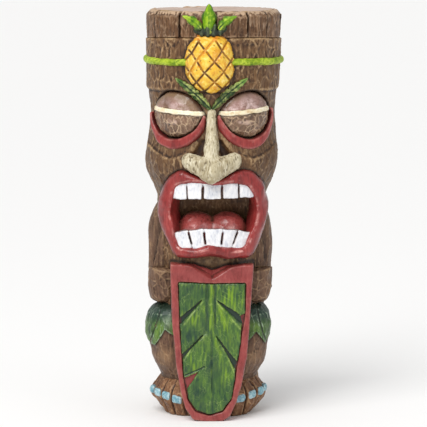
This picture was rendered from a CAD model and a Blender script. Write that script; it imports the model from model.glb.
"""Looks of the tiki totem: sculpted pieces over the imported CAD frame.

Every piece is a field on a dense grid, in millimetres, turned into a mesh. The field is
negative inside. The figure faces -Y, and "left" is -X, the viewer's left.
"""
import math
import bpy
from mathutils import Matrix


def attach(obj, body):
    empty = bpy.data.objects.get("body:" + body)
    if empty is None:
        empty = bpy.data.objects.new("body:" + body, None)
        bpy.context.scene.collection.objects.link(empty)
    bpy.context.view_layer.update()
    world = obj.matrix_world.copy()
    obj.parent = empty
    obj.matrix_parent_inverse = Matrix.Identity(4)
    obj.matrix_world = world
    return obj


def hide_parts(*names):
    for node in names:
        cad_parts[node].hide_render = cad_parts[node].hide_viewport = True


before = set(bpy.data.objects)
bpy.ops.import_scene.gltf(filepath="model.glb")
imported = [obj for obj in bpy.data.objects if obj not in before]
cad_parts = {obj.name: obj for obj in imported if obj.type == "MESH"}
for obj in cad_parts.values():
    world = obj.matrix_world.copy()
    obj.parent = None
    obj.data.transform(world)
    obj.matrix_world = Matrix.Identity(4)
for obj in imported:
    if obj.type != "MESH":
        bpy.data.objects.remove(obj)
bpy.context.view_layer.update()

from concurrent.futures import ThreadPoolExecutor
from functools import reduce

import bpy
import numpy as np
import openvdb
from mathutils import Vector

F = np.float32
LEFT, RIGHT = -1, 1
SIDES = {LEFT: "left", RIGHT: "right"}
DEGREE = 0.0175  # in radians, near enough
FAR = 99  # mm, for "nowhere near"
COARSE = 1.0


# ---- Camera, light and floor ----

CAMERA_AT, CAMERA_DOWN = (0, -5.26, 0.970), math.radians(6.508)
LENS_MM, SHIFT_X = 237.5, 0.0047


def build_camera():
    data = bpy.data.cameras.new("camera")
    data.lens = LENS_MM
    data.sensor_width = 36
    data.shift_x = SHIFT_X
    camera = bpy.data.objects.new("camera", data)
    camera.location = CAMERA_AT
    camera.rotation_euler = (math.pi / 2 - CAMERA_DOWN, 0, 0)
    bpy.context.scene.collection.objects.link(camera)
    bpy.context.scene.camera = camera


def build_light(name, place, target, power, colour, size=None, spread=None):
    data = bpy.data.lights.new(name, "AREA" if size else "SUN")
    if size:
        data.shape = "DISK"
        data.size = size
    else:
        data.angle = math.radians(spread)
    data.energy = power
    data.color = colour
    lamp = bpy.data.objects.new(name, data)
    lamp.location = place
    lamp.rotation_euler = (Vector(target) - Vector(place)).to_track_quat("-Z", "Y").to_euler()
    bpy.context.scene.collection.objects.link(lamp)


def build_stage():
    world = bpy.data.worlds.new("studio")
    world.use_nodes = True
    world.node_tree.nodes["Background"].inputs[0].default_value = (1, 1, 1, 1)
    world.node_tree.nodes["Background"].inputs[1].default_value = 0.60
    bpy.context.scene.world = world
    bpy.context.scene.view_settings.view_transform = "Standard"
    build_light("sky", (-1.2, -2.2, 3.2), (0, 0, 0), 1.75, (1.0, 0.99, 0.97), spread=38)
    build_light("key", (-1.1, -2.3, 1.9), (0, 0, 0.45), 13, (1.0, 0.99, 0.97), size=0.8)
    build_light("fill", (1.9, -2.0, 1.3), (0, 0, 0.45), 5, (0.96, 0.98, 1.0), size=0.9)
    mesh = bpy.data.meshes.new("floor")
    mesh.from_pydata([(-30, -12, 0), (30, -12, 0), (30, 40, 0), (-30, 40, 0)], [], [(0, 1, 2, 3)])
    floor = bpy.data.objects.new("floor", mesh)
    bpy.context.scene.collection.objects.link(floor)
    pale = bpy.data.materials.new("floor_pale")
    pale.use_nodes = True
    shader = pale.node_tree.nodes["Principled BSDF"]
    shader.inputs["Base Color"].default_value = (0.93, 0.93, 0.93, 1)
    shader.inputs["Roughness"].default_value = 0.8
    mesh.materials.append(pale)


# ---- Fields: p is (x, y, z), arrays that broadcast ----

def most(*parts):
    return reduce(np.maximum, parts)


def least(*parts):
    return reduce(np.minimum, parts)


def smin(a, b, k):
    h = most(k - np.abs(a - b), 0) / k
    return least(a, b) - h * h * (k / 4)


def smax(a, b, k):
    h = most(k - np.abs(a - b), 0) / k
    return most(a, b) + h * h * (k / 4)


def step01(value, low, high):
    t = np.clip((value - low) / (high - low), 0, 1)
    return t * t * (3 - 2 * t)


def fall(value, low, high):
    return 1 - step01(value, low, high)


def bump(value, width):
    return np.exp(-(value / width) ** 2)


def table(value, points):
    """Reads a value off a line through (at, value) points."""
    return np.interp(value, *zip(*points)).astype(F)


def spots(x, z, patches):
    """A sum of soft patches: strength, middle and reach in x, middle and reach in z."""
    return sum(k * bump(x - a, w) * bump(z - b, h) for k, a, w, b, h in patches)


def ellipsoid(p, centre, radii):
    q = [(a - c) / r for a, c, r in zip(p, centre, radii)]
    k0 = np.sqrt(sum(a * a for a in q)) + 1e-6
    k1 = np.sqrt(sum((a / r) ** 2 for a, r in zip(q, radii))) + 1e-6
    return k0 * (k0 - 1) / k1


def capsule(p, a, b, ra, rb):
    ab = [j - i for i, j in zip(a, b)]
    w = [q - i for q, i in zip(p, a)]
    t = np.clip(sum(i * j for i, j in zip(w, ab)) / sum(i * i for i in ab), 0, 1)
    return np.sqrt(sum((i - t * j) ** 2 for i, j in zip(w, ab))) - (ra + (rb - ra) * t)


def rounded(points, corner):
    """An outline with each corner drawn as a short curve, at most `corner` mm from its point."""
    out = []
    n = len(points)
    for i in range(n):
        a, b, c = (np.array(points[(i + k) % n], float) for k in (-1, 0, 1))
        la, lc = np.linalg.norm(a - b), np.linalg.norm(c - b)
        p0 = b + (a - b) * min(corner, la / 2) / la
        p2 = b + (c - b) * min(corner, lc / 2) / lc
        for t in (0.0, 0.25, 0.5, 0.75, 1.0):
            out.append((1 - t) ** 2 * p0 + 2 * t * (1 - t) * b + t * t * p2)
    return out


def outline(p, points, corner=3.0):
    """Distance in x and z to a closed outline."""
    x, z = np.broadcast_arrays(p[0], p[2])
    best = np.full(x.shape, 1e9, F)
    inside = np.zeros(x.shape, bool)
    pts = rounded(points, corner) if corner else [np.array(q, float) for q in points]
    for (ax, az), (bx, bz) in zip(pts, pts[1:] + pts[:1]):
        ex, ez = bx - ax, bz - az
        length = ex * ex + ez * ez
        if length < 1e-9:
            continue
        wx, wz = x - F(ax), z - F(az)
        t = np.clip((wx * F(ex) + wz * F(ez)) / F(length), 0, 1)
        best = least(best, (wx - F(ex) * t) ** 2 + (wz - F(ez) * t) ** 2)
        if abs(ez) > 1e-9:
            inside ^= ((az > z) != (bz > z)) & (wx < wz * F(ex / ez))
    d = np.sqrt(best)
    return np.where(inside, -d, d)


def strokes(p, lines):
    """Distance in x and z to the nearest of some open lines."""
    x, z = np.broadcast_arrays(p[0], p[2])
    best = np.full(x.shape, 1e9, F)
    for line in lines:
        for (ax, az), (bx, bz) in zip(line, line[1:]):
            ex, ez = bx - ax, bz - az
            wx, wz = x - F(ax), z - F(az)
            t = np.clip((wx * F(ex) + wz * F(ez)) / F(ex * ex + ez * ez), 0, 1)
            best = least(best, (wx - F(ex) * t) ** 2 + (wz - F(ez) * t) ** 2)
    return np.sqrt(best)


def wobble(p, size, seed):
    """Slow waves between -1 and 1, about `size` mm long."""
    rng = np.random.default_rng(seed)
    total = 0
    for _ in range(5):
        k = rng.normal(size=3)
        k *= rng.uniform(0.7, 1.4) * 2 * math.pi / size / np.linalg.norm(k)
        total = total + np.sin(F(k[0]) * p[0] + F(k[1]) * p[1] + F(k[2]) * p[2] + F(rng.uniform(0, 6.3)))
    return total / 2.6


def hashed(ix, iy, iz, salt):
    h = (ix * 73856093) ^ (iy * 19349663) ^ (iz * 83492791) ^ (salt * 2654435761 % 2147483647)
    h = (h ^ (h >> 13)) * 1274126177 & 0x7FFFFFFF
    h = (h ^ (h >> 15)) * 668265263 & 0x7FFFFFFF
    return ((h ^ (h >> 12)) & 0xFFFFF).astype(F) / F(0xFFFFF)


def cells(q, size, seed):
    """Nearest and second nearest point of a jittered lattice, in cells, and a number of the cell's own."""
    bend = [0.16 * wobble(q, 2.1 * max(size[0], size[1]), seed * 3 + k) for k in range(3)]
    c = [a / F(s) + b for a, s, b in zip(q, size, bend)]
    base = [np.floor(a).astype(np.int64) for a in c]
    f1 = np.full(c[0].shape, 9, F)
    f2 = f1.copy()
    own = np.zeros(c[0].shape, F)
    for dx in (-1, 0, 1):
        for dy in (-1, 0, 1):
            for dz in (-1, 0, 1):
                i = (base[0] + dx, base[1] + dy, base[2] + dz)
                d = sum((i[k] + F(0.12) + F(0.76) * hashed(*i, seed * 7 + k) - c[k]) ** 2 for k in range(3))
                closer = d < f1
                f2 = np.where(closer, f1, least(f2, d))
                own = np.where(closer, hashed(*i, seed * 7 + 5), own)
                f1 = np.where(closer, d, f1)
    return np.sqrt(f1), np.sqrt(f2), own


def scoops(p, f, size, depth, seed, band=9.0, where=None):
    """Knife work: each cell is hollowed, and ridges stand between cells."""
    shape = np.broadcast(*p, f).shape
    f = np.array(np.broadcast_to(f, shape), F)
    near = np.abs(f) < band
    q = [np.broadcast_to(a, shape)[near] for a in p]
    f1, f2, own = cells(q, size, seed)
    height = 0.75 * np.exp(-(f2 - f1) / 0.17) + 0.5 * least(f1, 0.8) ** 2 + 0.3 * own - 0.5
    amount = depth if where is None else depth * np.broadcast_to(where, shape)[near]
    f[near] -= (amount * height).astype(F)
    return f


def crackle(q, size, seed, width=0.11):
    """1 on the ridges between the cells that scoops() makes, else 0; some stretches fade out."""
    f1, f2, _ = cells(q, size, seed)
    worn = step01(wobble(q, 44, seed + 1) + 0.7 * wobble(q, 17, seed + 2), -0.75, 0.55)
    return np.clip(1 - (f2 - f1) / width, 0, 1) * worn


def lean(p):
    """x and y as the log has them: it leans a little to the right towards its top."""
    return p[0] - F(0.0125) * (p[2] - 420), p[1]


def radius(p):
    """Distance from the log's own axis."""
    return np.hypot(*lean(p))


# ---- Sculpting ----

JOBS = []


def piece(name, nodes, slot, paint, lo, hi, step, form, marks=None, edge=0.28, crease=0.28):
    """Queues a piece. marks(q) may return ridge, wash and tint, arrays from 0 to 1."""
    JOBS.append(dict(name=name, nodes=nodes, slot=slot, paint=PAINT[paint], lo=lo, hi=hi, step=step * COARSE,
                     form=form, marks=marks, edge=edge, crease=crease))


def sculpt(job):
    h = job["step"]
    lo = np.array(job["lo"], float) - 3 * h
    count = np.ceil((np.array(job["hi"]) + 3 * h - lo) / h).astype(int) + 1
    axes = [(lo[i] + h * np.arange(count[i])).astype(F) for i in range(3)]
    p = (axes[0][:, None, None], axes[1][None, :, None], axes[2][None, None, :])
    field = np.array(np.broadcast_to(job["form"](p), tuple(count)), F)
    grid = openvdb.FloatGrid(3 * h)
    grid.copyFromArray(np.clip(field, -3 * h, 3 * h))
    points, quads = grid.convertToQuads(isovalue=0.0)
    v = (points * h + lo).astype(np.float64)
    relief = relief_of(v, quads, max(3, round(3.5 / h * 2)))
    q = [v[:, i].astype(F) for i in range(3)]
    marks = {"ridge": step01(relief, 0.25 * job["edge"], job["edge"]),
             "wash": step01(-relief, 0.2 * job["crease"], job["crease"]),
             "tint": np.zeros(len(v))}
    if job["marks"]:
        for key, value in job["marks"](q).items():
            marks[key] = most(marks[key], value) if key != "tint" else value + 0 * marks["tint"]
    return v, quads, marks


def relief_of(v, quads, rounds):
    """How far each vertex stands out of its smoothed surroundings, in mm."""
    n = len(v)
    edges = np.concatenate([quads[:, [i, (i + 1) % 4]] for i in range(4)])
    a, b = edges[:, 0], edges[:, 1]
    degree = most(np.bincount(a, minlength=n) + np.bincount(b, minlength=n), 1)
    s = v.copy()
    for _ in range(rounds):
        s = np.stack([(np.bincount(a, s[b, i], n) + np.bincount(b, s[a, i], n)) / degree
                      for i in range(3)], 1)
    face = np.cross(v[quads[:, 2]] - v[quads[:, 0]], v[quads[:, 3]] - v[quads[:, 1]])
    normal = np.stack([sum(np.bincount(quads[:, k], face[:, i], n) for k in range(4))
                       for i in range(3)], 1)
    normal /= np.linalg.norm(normal, axis=1)[:, None] + 1e-12
    return ((v - s) * normal).sum(1)


def build(job, v, quads, marks):
    mesh = bpy.data.meshes.new(job["name"])
    mesh.vertices.add(len(v))
    mesh.vertices.foreach_set("co", (v * 0.001).astype(F).ravel())
    mesh.loops.add(4 * len(quads))
    mesh.loops.foreach_set("vertex_index", quads.astype(np.int32).ravel())
    mesh.polygons.add(len(quads))
    mesh.polygons.foreach_set("loop_start", np.arange(0, 4 * len(quads), 4, dtype=np.int32))
    mesh.polygons.foreach_set("use_smooth", np.ones(len(quads), bool))
    mesh.update(calc_edges=True)
    for key, value in marks.items():
        mesh.attributes.new(key, "FLOAT", "POINT").data.foreach_set("value", value.astype(F))
    mesh.materials.append(job["paint"])
    made = bpy.data.objects.new(job["name"], mesh)
    bpy.context.scene.collection.objects.link(made)
    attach(made, "root")
    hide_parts(*job["nodes"])


# ---- Paint ----

class Paint:
    """Builds one node material around its Principled shader."""

    def __init__(self, name):
        self.material = bpy.data.materials.new(name)
        self.material.use_nodes = True
        self.tree = self.material.node_tree
        self.shader = self.tree.nodes["Principled BSDF"]
        self.place = self.add("ShaderNodeTexCoord").outputs["Object"]

    def add(self, kind, inputs=None, **settings):
        node = self.tree.nodes.new(kind)
        for key, value in settings.items():
            setattr(node, key, value)
        for key, value in (inputs or {}).items():
            self.put(node.inputs[key], value)
        return node

    def put(self, socket, value):
        if isinstance(value, bpy.types.NodeSocket):
            self.tree.links.new(value, socket)
        else:
            socket.default_value = value

    def noise(self, size_mm, stretch=(1, 1, 1), detail=4, rough=0.55, warp=0.0, seed=0.0):
        moved = self.add("ShaderNodeMapping",
                         {"Vector": self.place, "Location": (seed, seed * 0.7, seed * 0.3),
                                               "Scale": tuple(1 / s for s in stretch)}).outputs[0]
        return self.add("ShaderNodeTexNoise", {"Vector": moved, "Scale": 1000 / size_mm, "Detail": detail,
                                               "Roughness": rough, "Distortion": warp}).outputs[0]

    def veins(self, size_mm, stretch, warp=0.016):
        """Distance to the edges of warped cells, in cells."""
        shift = self.add("ShaderNodeTexNoise", {"Vector": self.place, "Scale": 90, "Detail": 3}).outputs[1]
        for kind, inputs in (("SUBTRACT", {1: (0.5, 0.5, 0.5)}), ("SCALE", {"Scale": warp}),
                             ("ADD", {1: self.place})):
            shift = self.add("ShaderNodeVectorMath", {0: shift, **inputs}, operation=kind).outputs[0]
        moved = self.add("ShaderNodeMapping",
                         {"Vector": shift, "Scale": tuple(1 / s for s in stretch)}).outputs[0]
        return self.add("ShaderNodeTexVoronoi", {"Vector": moved, "Scale": 1000 / size_mm},
                        feature="DISTANCE_TO_EDGE").outputs["Distance"]

    def remap(self, value, low, high, a=0.0, b=1.0):
        return self.add("ShaderNodeMapRange", {"Value": value, "From Min": low, "From Max": high,
                                               "To Min": a, "To Max": b},
                        interpolation_type="SMOOTHSTEP").outputs[0]

    def math(self, kind, a, b=0.0):
        return self.add("ShaderNodeMath", {0: a, 1: b}, operation=kind, use_clamp=True).outputs[0]

    def mark(self, name):
        return self.add("ShaderNodeAttribute", attribute_name=name).outputs["Fac"]

    def mix(self, share, a, b):
        node = self.add("ShaderNodeMix", data_type="RGBA")
        for index, value in ((0, share), (6, a), (7, b)):
            if not isinstance(value, (bpy.types.NodeSocket, float, int)):
                value = (*value, 1)
            self.put(node.inputs[index], value)
        return node.outputs[2]

    def finish(self, colour, rough=(0.45, 0.65), coat=0.12, coat_rough=0.25, grain=0.5, grain_mm=1.6,
               stretch=(1, 1, 3), specular=0.25):
        put = self.put
        put(self.shader.inputs["Specular IOR Level"], specular)
        put(self.shader.inputs["Base Color"], colour)
        fine = self.noise(grain_mm, stretch, 5, 0.6)
        cloud = self.noise(9, (1, 1, 1), 3, 0.6, 0, 3.0)
        put(self.shader.inputs["Roughness"], self.remap(cloud, 0.3, 0.7, *rough))
        put(self.shader.inputs["Coat Weight"], coat)
        put(self.shader.inputs["Coat Roughness"], coat_rough)
        broad = self.noise(6, (1, 1, 1), 3)
        height = self.add("ShaderNodeMath", {0: fine, 1: broad}, operation="ADD").outputs[0]
        relief = self.add("ShaderNodeBump", {"Strength": grain, "Distance": 0.0006, "Height": height})
        put(self.shader.inputs["Normal"], relief.outputs[0])
        return self.material


def carved(name, *tones, streak=0.5, patch_mm=26, stretch=(1, 1, 5), ridge_amount=1.0, vein=0.0, vein_mm=22,
           tint=None, tint_soft=0.15, **finish):
    """Painted carving: three tones in brushed streaks, pale ridges, dark hollows, and a tint."""
    m = Paint(name)
    dark, mid, light, ridge, wash, tint = (tone and tuple(c / 1000 for c in tone) for tone in (*tones, tint))
    patch = m.noise(patch_mm, (1, 1, 1.6), 3, 0.5, 0.4)
    brush = m.noise(3.4, stretch, 5, 0.65)
    tone = m.math("ADD", m.math("MULTIPLY", patch, 1 - streak), m.math("MULTIPLY", brush, streak))
    colour = m.mix(m.remap(tone, 0.38, 0.5), dark, mid)
    colour = m.mix(m.remap(tone, 0.5, 0.64), colour, light)
    if tint:
        centred = m.add("ShaderNodeMath", {0: brush, 1: 0.5}, operation="SUBTRACT").outputs[0]
        edge = m.math("ADD", m.mark("tint"), m.math("MULTIPLY", centred, 0.6))
        colour = m.mix(m.remap(edge, 0.5 - tint_soft, 0.5 + tint_soft), colour, tint)
    worn = m.remap(m.noise(17, (1, 1, 1), 4, 0.6, 0.5, 5.0), 0.36, 0.6)
    pale = m.math("MULTIPLY", m.mark("ridge"), m.math("MULTIPLY", worn, ridge_amount))
    pale = m.math("MULTIPLY", pale, m.remap(m.noise(2.2, (1, 1, 2), 3), 0.3, 0.6, 0.45, 1.0))
    colour = m.mix(pale, colour, ridge)
    if vein:
        line = m.remap(m.veins(vein_mm, (1, 1, 1.5)), 0.05, 0.0)
        broken = m.remap(m.noise(24, (1, 1, 1), 2, 0.5, 0, 9.0), 0.42, 0.6)
        line = m.math("MULTIPLY", line, m.math("MULTIPLY", broken, vein))
        colour = m.mix(line, colour, ridge)
    dirt = m.math("MULTIPLY", m.mark("wash"), m.remap(m.noise(5, (1, 1, 1), 3), 0.25, 0.6, 0.7, 1.0))
    colour = m.mix(dirt, colour, wash)
    return m.finish(colour, **finish)


# Each paint: its dark, middle and light tones, its ridges and its hollows, in thousandths.
PAINT = {
    "log": carved("log_carved", (62, 27, 12), (126, 61, 25), (204, 108, 46), (440, 290, 150), (26, 12, 7),
                  tint=(550, 410, 330), vein=0.3, streak=0.6),
    "crown": carved("crown_carved", (62, 27, 11), (126, 59, 24), (240, 128, 66), (460, 310, 190), (24, 11, 7),
                    stretch=(1, 1, 9), streak=0.72, tint=(500, 350, 230), vein=0.2, ridge_amount=0.6,
                    tint_soft=0.3),
    "limb": carved("limb_carved", (64, 32, 18), (130, 69, 40), (205, 116, 70), (400, 260, 140), (26, 12, 7),
                   stretch=(1, 1, 9), vein=0.25, tint=(260, 150, 75), streak=0.7, tint_soft=0.45,
                   ridge_amount=0.7),
    "foot": carved("foot_carved", (85, 32, 13), (175, 78, 34), (280, 145, 70), (400, 240, 120), (30, 11, 6),
                   vein=0.25),
    "dome": carved("dome_carved", (80, 40, 22), (180, 98, 55), (310, 185, 115), (560, 400, 250), (28, 13, 8),
                   vein=0.5, vein_mm=13, coat=0.6, coat_rough=0.2, stretch=(1, 1, 3), tint=(500, 340, 270),
                   tint_soft=0.4),
    "lid": carved("lid_varnished", (170, 88, 60), (310, 175, 145), (440, 270, 250), (740, 560, 540),
                  (70, 30, 20), streak=0.25, patch_mm=34, stretch=(3, 3, 1), rough=(0.22, 0.36), coat=0.6,
                  coat_rough=0.2, grain=0.25, tint=(200, 115, 55), tint_soft=0.35),
    "strip": carved("strip_cream", (620, 460, 260), (820, 710, 480), (900, 840, 650), (940, 880, 720),
                    (300, 170, 80), stretch=(5, 5, 1)),
    "brick": carved("brick_red", (165, 15, 14), (265, 26, 24), (370, 50, 44), (620, 260, 220), (65, 12, 10),
                    ridge_amount=0.6, stretch=(1, 1, 4), rough=(0.3, 0.5), coat=0.38, coat_rough=0.22,
                    grain=0.35),
    "lip": carved("lip_red", (165, 15, 14), (265, 28, 26), (370, 54, 48), (720, 360, 320), (60, 12, 10),
                  ridge_amount=0.9, stretch=(1, 1, 4), rough=(0.3, 0.46), coat=0.42, coat_rough=0.18,
                  grain=0.3),
    "tongue": carved("tongue_red", (160, 26, 22), (330, 58, 52), (450, 100, 90), (660, 340, 310),
                     (55, 18, 12), ridge_amount=2.2, stretch=(1, 3, 1), rough=(0.3, 0.45), coat=0.8,
                     coat_rough=0.24, grain=0.3, tint=(75, 40, 22), tint_soft=0.4),
    "nose": carved("nose_cream", (270, 215, 120), (490, 425, 280), (640, 580, 420), (740, 690, 540),
                   (120, 85, 40), streak=0.7, stretch=(1, 1, 7), patch_mm=20, tint=(250, 190, 100),
                   tint_soft=0.4),
    "tooth": carved("tooth_white", (550, 570, 640), (740, 750, 780), (860, 860, 870), (900, 860, 840),
                    (160, 100, 85), streak=0.6, stretch=(1, 1, 3), patch_mm=12, rough=(0.22, 0.4), coat=0.4,
                    coat_rough=0.15, grain=0.35),
    "cord": carved("cord_lime", (90, 180, 3), (200, 310, 5), (350, 470, 12), (500, 620, 50), (70, 120, 5),
                   stretch=(3, 3, 1), grain=0.3),
    "fruit": carved("fruit_yellow", (680, 310, 20), (800, 480, 40), (900, 660, 120), (960, 800, 280),
                    (50, 16, 6), streak=0.35, patch_mm=13, stretch=(1, 1, 2), rough=(0.28, 0.45), coat=0.4,
                    tint=(760, 260, 18), tint_soft=0.4),
    "leaf": carved("leaf_lime", (28, 110, 2), (120, 280, 3), (290, 470, 8), (480, 640, 50), (10, 40, 14),
                   stretch=(1, 1, 4), tint=(12, 45, 26), tint_soft=0.3),
    "leaf_dark": carved("leaf_deep", (9, 22, 7), (22, 56, 12), (58, 115, 18), (400, 460, 140), (5, 12, 7),
                        tint=(120, 270, 35), tint_soft=0.3),
    "collar": carved("collar_teal", (9, 14, 10), (18, 28, 19), (40, 56, 34), (110, 140, 70), (6, 8, 6),
                     tint=(40, 100, 18), tint_soft=0.3),
    "panel": carved("panel_green", (16, 54, 22), (50, 118, 24), (108, 205, 26), (300, 420, 100), (10, 34, 27),
                    vein=0.45, vein_mm=11, streak=0.55, patch_mm=20, stretch=(1, 1, 6), ridge_amount=1.8,
                    tint=(165, 290, 12), tint_soft=0.4, rough=(0.35, 0.5), coat=0.3),
    "knee": carved("knee_green", (16, 48, 13), (60, 132, 19), (130, 235, 30), (320, 420, 280), (9, 18, 10),
                   stretch=(1, 1, 6), tint=(12, 40, 24), tint_soft=0.4, coat=0.35),
    "nail": carved("nail_blue", (70, 220, 290), (160, 350, 420), (340, 540, 590), (550, 720, 750),
                   (50, 100, 120), stretch=(1, 1, 1), patch_mm=9, rough=(0.25, 0.4), coat=0.5),
    "dowel": carved("dowel_beech", (420, 270, 140), (560, 390, 220), (660, 490, 300), (700, 550, 360),
                    (300, 180, 90), stretch=(1, 8, 1), coat=0.0),
    "board": carved("board_red", (190, 30, 27), (265, 46, 43), (340, 76, 68), (460, 160, 120), (75, 20, 15),
                    ridge_amount=0.55, stretch=(1, 1, 4), rough=(0.3, 0.5), coat=0.3, grain=0.3,
                    tint=(18, 36, 24), tint_soft=0.1),
}

# ---- Outlines seen from the front: x, height ----

LIPS = [(-64, 302), (-79, 325), (-92, 352), (-100, 382), (-98, 406), (-87, 436), (-73, 455), (-60, 463),
        (-40, 460), (-12, 446), (14, 446), (42, 461), (58, 465), (77, 459), (95, 440), (105, 404),
        (102, 364), (86, 323), (70, 300), (38, 300), (2, 307), (-34, 301)]
MOUTH = [(-67, 428), (-58, 438), (-23, 441), (1, 436), (50, 440), (67, 434), (80, 410), (82, 382), (77, 357),
         (71, 344), (61, 320), (44, 318), (3, 327), (-34, 317), (-58, 321), (-67, 344), (-71, 363),
         (-75, 388),
         (-73, 407)]
BOARD = [(-76, 290), (-30, 287), (1, 276), (32, 286), (78, 289), (71, 185), (65, 118), (56, 67), (45, 32),
         (34, 9), (21, 0), (-18, 0), (-34, 3), (-49, 24), (-56, 52), (-64, 96), (-73, 185)]
RECESS = [(-62, 257), (-2, 254), (64, 255), (63, 200), (57, 165), (54, 138), (48, 105), (44, 76), (38, 40),
          (21, 17), (-3, 10), (-29, 17), (-44, 38), (-52, 78), (-55, 118), (-59, 172)]
PANEL = [(-59, 254), (-3, 251), (61, 252), (61, 200), (51, 195), (11, 221), (54, 180), (52, 140),
         (46, 108), (9, 156), (43, 99), (41, 76), (36, 43), (19, 21), (-3, 14), (-27, 21),
         (-41, 41), (-43, 60), (-20, 94), (-49, 82), (-52, 116), (-15, 159), (-53, 122),
         (-57, 180), (-19, 222), (-57, 189)]
SLOTS = [[(51, 197), (10, 223), (56, 179)], [(47, 109), (8, 158), (44, 97)],
         [(-54, 117), (-13, 161), (-55, 122)],
         [(-58, 179), (-18, 223), (-59, 190)]]
CRESTS = [[(11, 218), (30, 196), (54, 169)], [(9, 153), (28, 126), (42, 90)],
          [(-15, 156), (-35, 136), (-53, 110)],
          [(-18, 219), (-38, 195), (-57, 168)]]
VEINS = [[(-10, 226), (-26, 214), (-34, 204)], [(10, 228), (30, 214)], [(-9, 164), (-30, 148), (-50, 128)],
         [(9, 162), (30, 142), (40, 126)]]
FINE = [[(12, 212), (20, 196), (28, 176)], [(14, 218), (34, 202), (44, 186)], [(16, 196), (22, 180)],
        [(10, 150), (18, 134), (34, 116)], [(-12, 208), (-24, 196), (-34, 178)], [(-14, 150), (-22, 138)],
        [(20, 240), (44, 226)], [(18, 232), (36, 222)]]
NICK = [[(-48, 85), (-21, 96), (-13, 101)]]
COLLAR = [(-16, 708), (-35, 717), (-33, 727), (-25, 729), (-20, 721), (-11, 731), (-2, 724), (8, 732),
          (15, 722), (24, 730), (31, 726), (29, 717), (12, 708)]

PROFILE = [(0, 79), (10, 85), (24, 91.5), (55, 93.5), (78, 89), (160, 99), (385, 99), (408, 99), (420, 104),
           (436, 112),
           (455, 119.5), (475, 122.5), (500, 122.3), (525, 118.8), (560, 115), (585, 116.5), (605, 118.8),
           (608.5, 122.8), (640, 124), (690, 125), (700.5, 125.8), (702.5, 119), (760, 110)]


def log_radius(z):
    return table(z, PROFILE)


# ---- Log ----

CHEEK = [(40, 500), (52, 494), (64, 488), (77, 485), (92, 489), (107, 498), (125, 514)]
LOG_CELL = (17, 17, 33)
EYE_TURN, EYE_Z = math.radians(36), 564


def eye_frame(p, side):
    """Across, outwards, and height above the middle of one eye."""
    a = side * EYE_TURN
    return p[0] * math.cos(a) + p[1] * math.sin(a), p[0] * math.sin(a) - p[1] * math.cos(a), p[2] - EYE_Z


def almond(u, w, half_w=57, half_h=43):
    r = (half_w ** 2 + half_h ** 2) / (2 * half_h)
    return most(np.hypot(u, w + (r - half_h)) - r, np.hypot(u, w - (r - half_h)) - r)


def arch(p):
    """How much higher the ledge under the crown runs at the front."""
    return 4 * step01(-p[1], 25, 115)


def log_form(p):
    x, y = lean(p)
    z = p[2]
    r = np.hypot(x, y)
    front = step01(-y, 10, 60)
    f = (r - log_radius(z - arch(p) * step01(z, 660, 690))) * F(0.95)
    line = table(np.abs(x), CHEEK)
    below = line - z
    f = f - 3.2 * front * step01(below, -1, 5) * fall(below, 18, 55) * step01(np.abs(x), 38, 60)
    f = f + 1.6 * wobble(p, 70, 3) * (1 - 0.6 * step01(z, 600, 620))
    f = scoops(p, f, LOG_CELL, 1.8, 11, where=1 - 0.45 * step01(y, 0, 70))
    f = scoops(p, f, (9, 9, 24), 0.7, 12)
    top = z - 754 + 0.8 * wobble(p, 60, 8)
    f = smax(f, top, 4)
    chin = ellipsoid(p, (0, -104, 290), (48, 12, 15))
    f = smax(f, -chin, 5)
    for side in (LEFT, RIGHT):
        u, out, w = eye_frame(p, side)
        socket = most(almond(u, w) - 1.2, 84 - out)
        f = smax(f, -socket, 2.5)
        hollow = capsule(p, (side * 15, -120, 512), (side * 27, -119, 492), 6.5, 8.0)
        f = smax(f, -hollow, 9)
    mouth = most(outline(p, MOUTH, 8) + 4, y + 40 + 0.25 * (z - 350))
    f = smax(f, -mouth, 4)
    lips = most(outline(p, LIPS, 12) + 1.2, y + 61)
    f = most(f, -lips)
    board = most(outline(p, BOARD, 3) + 1.5, y + 93)
    f = most(f, -board)
    return smax(f, -z, 2)


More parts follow.
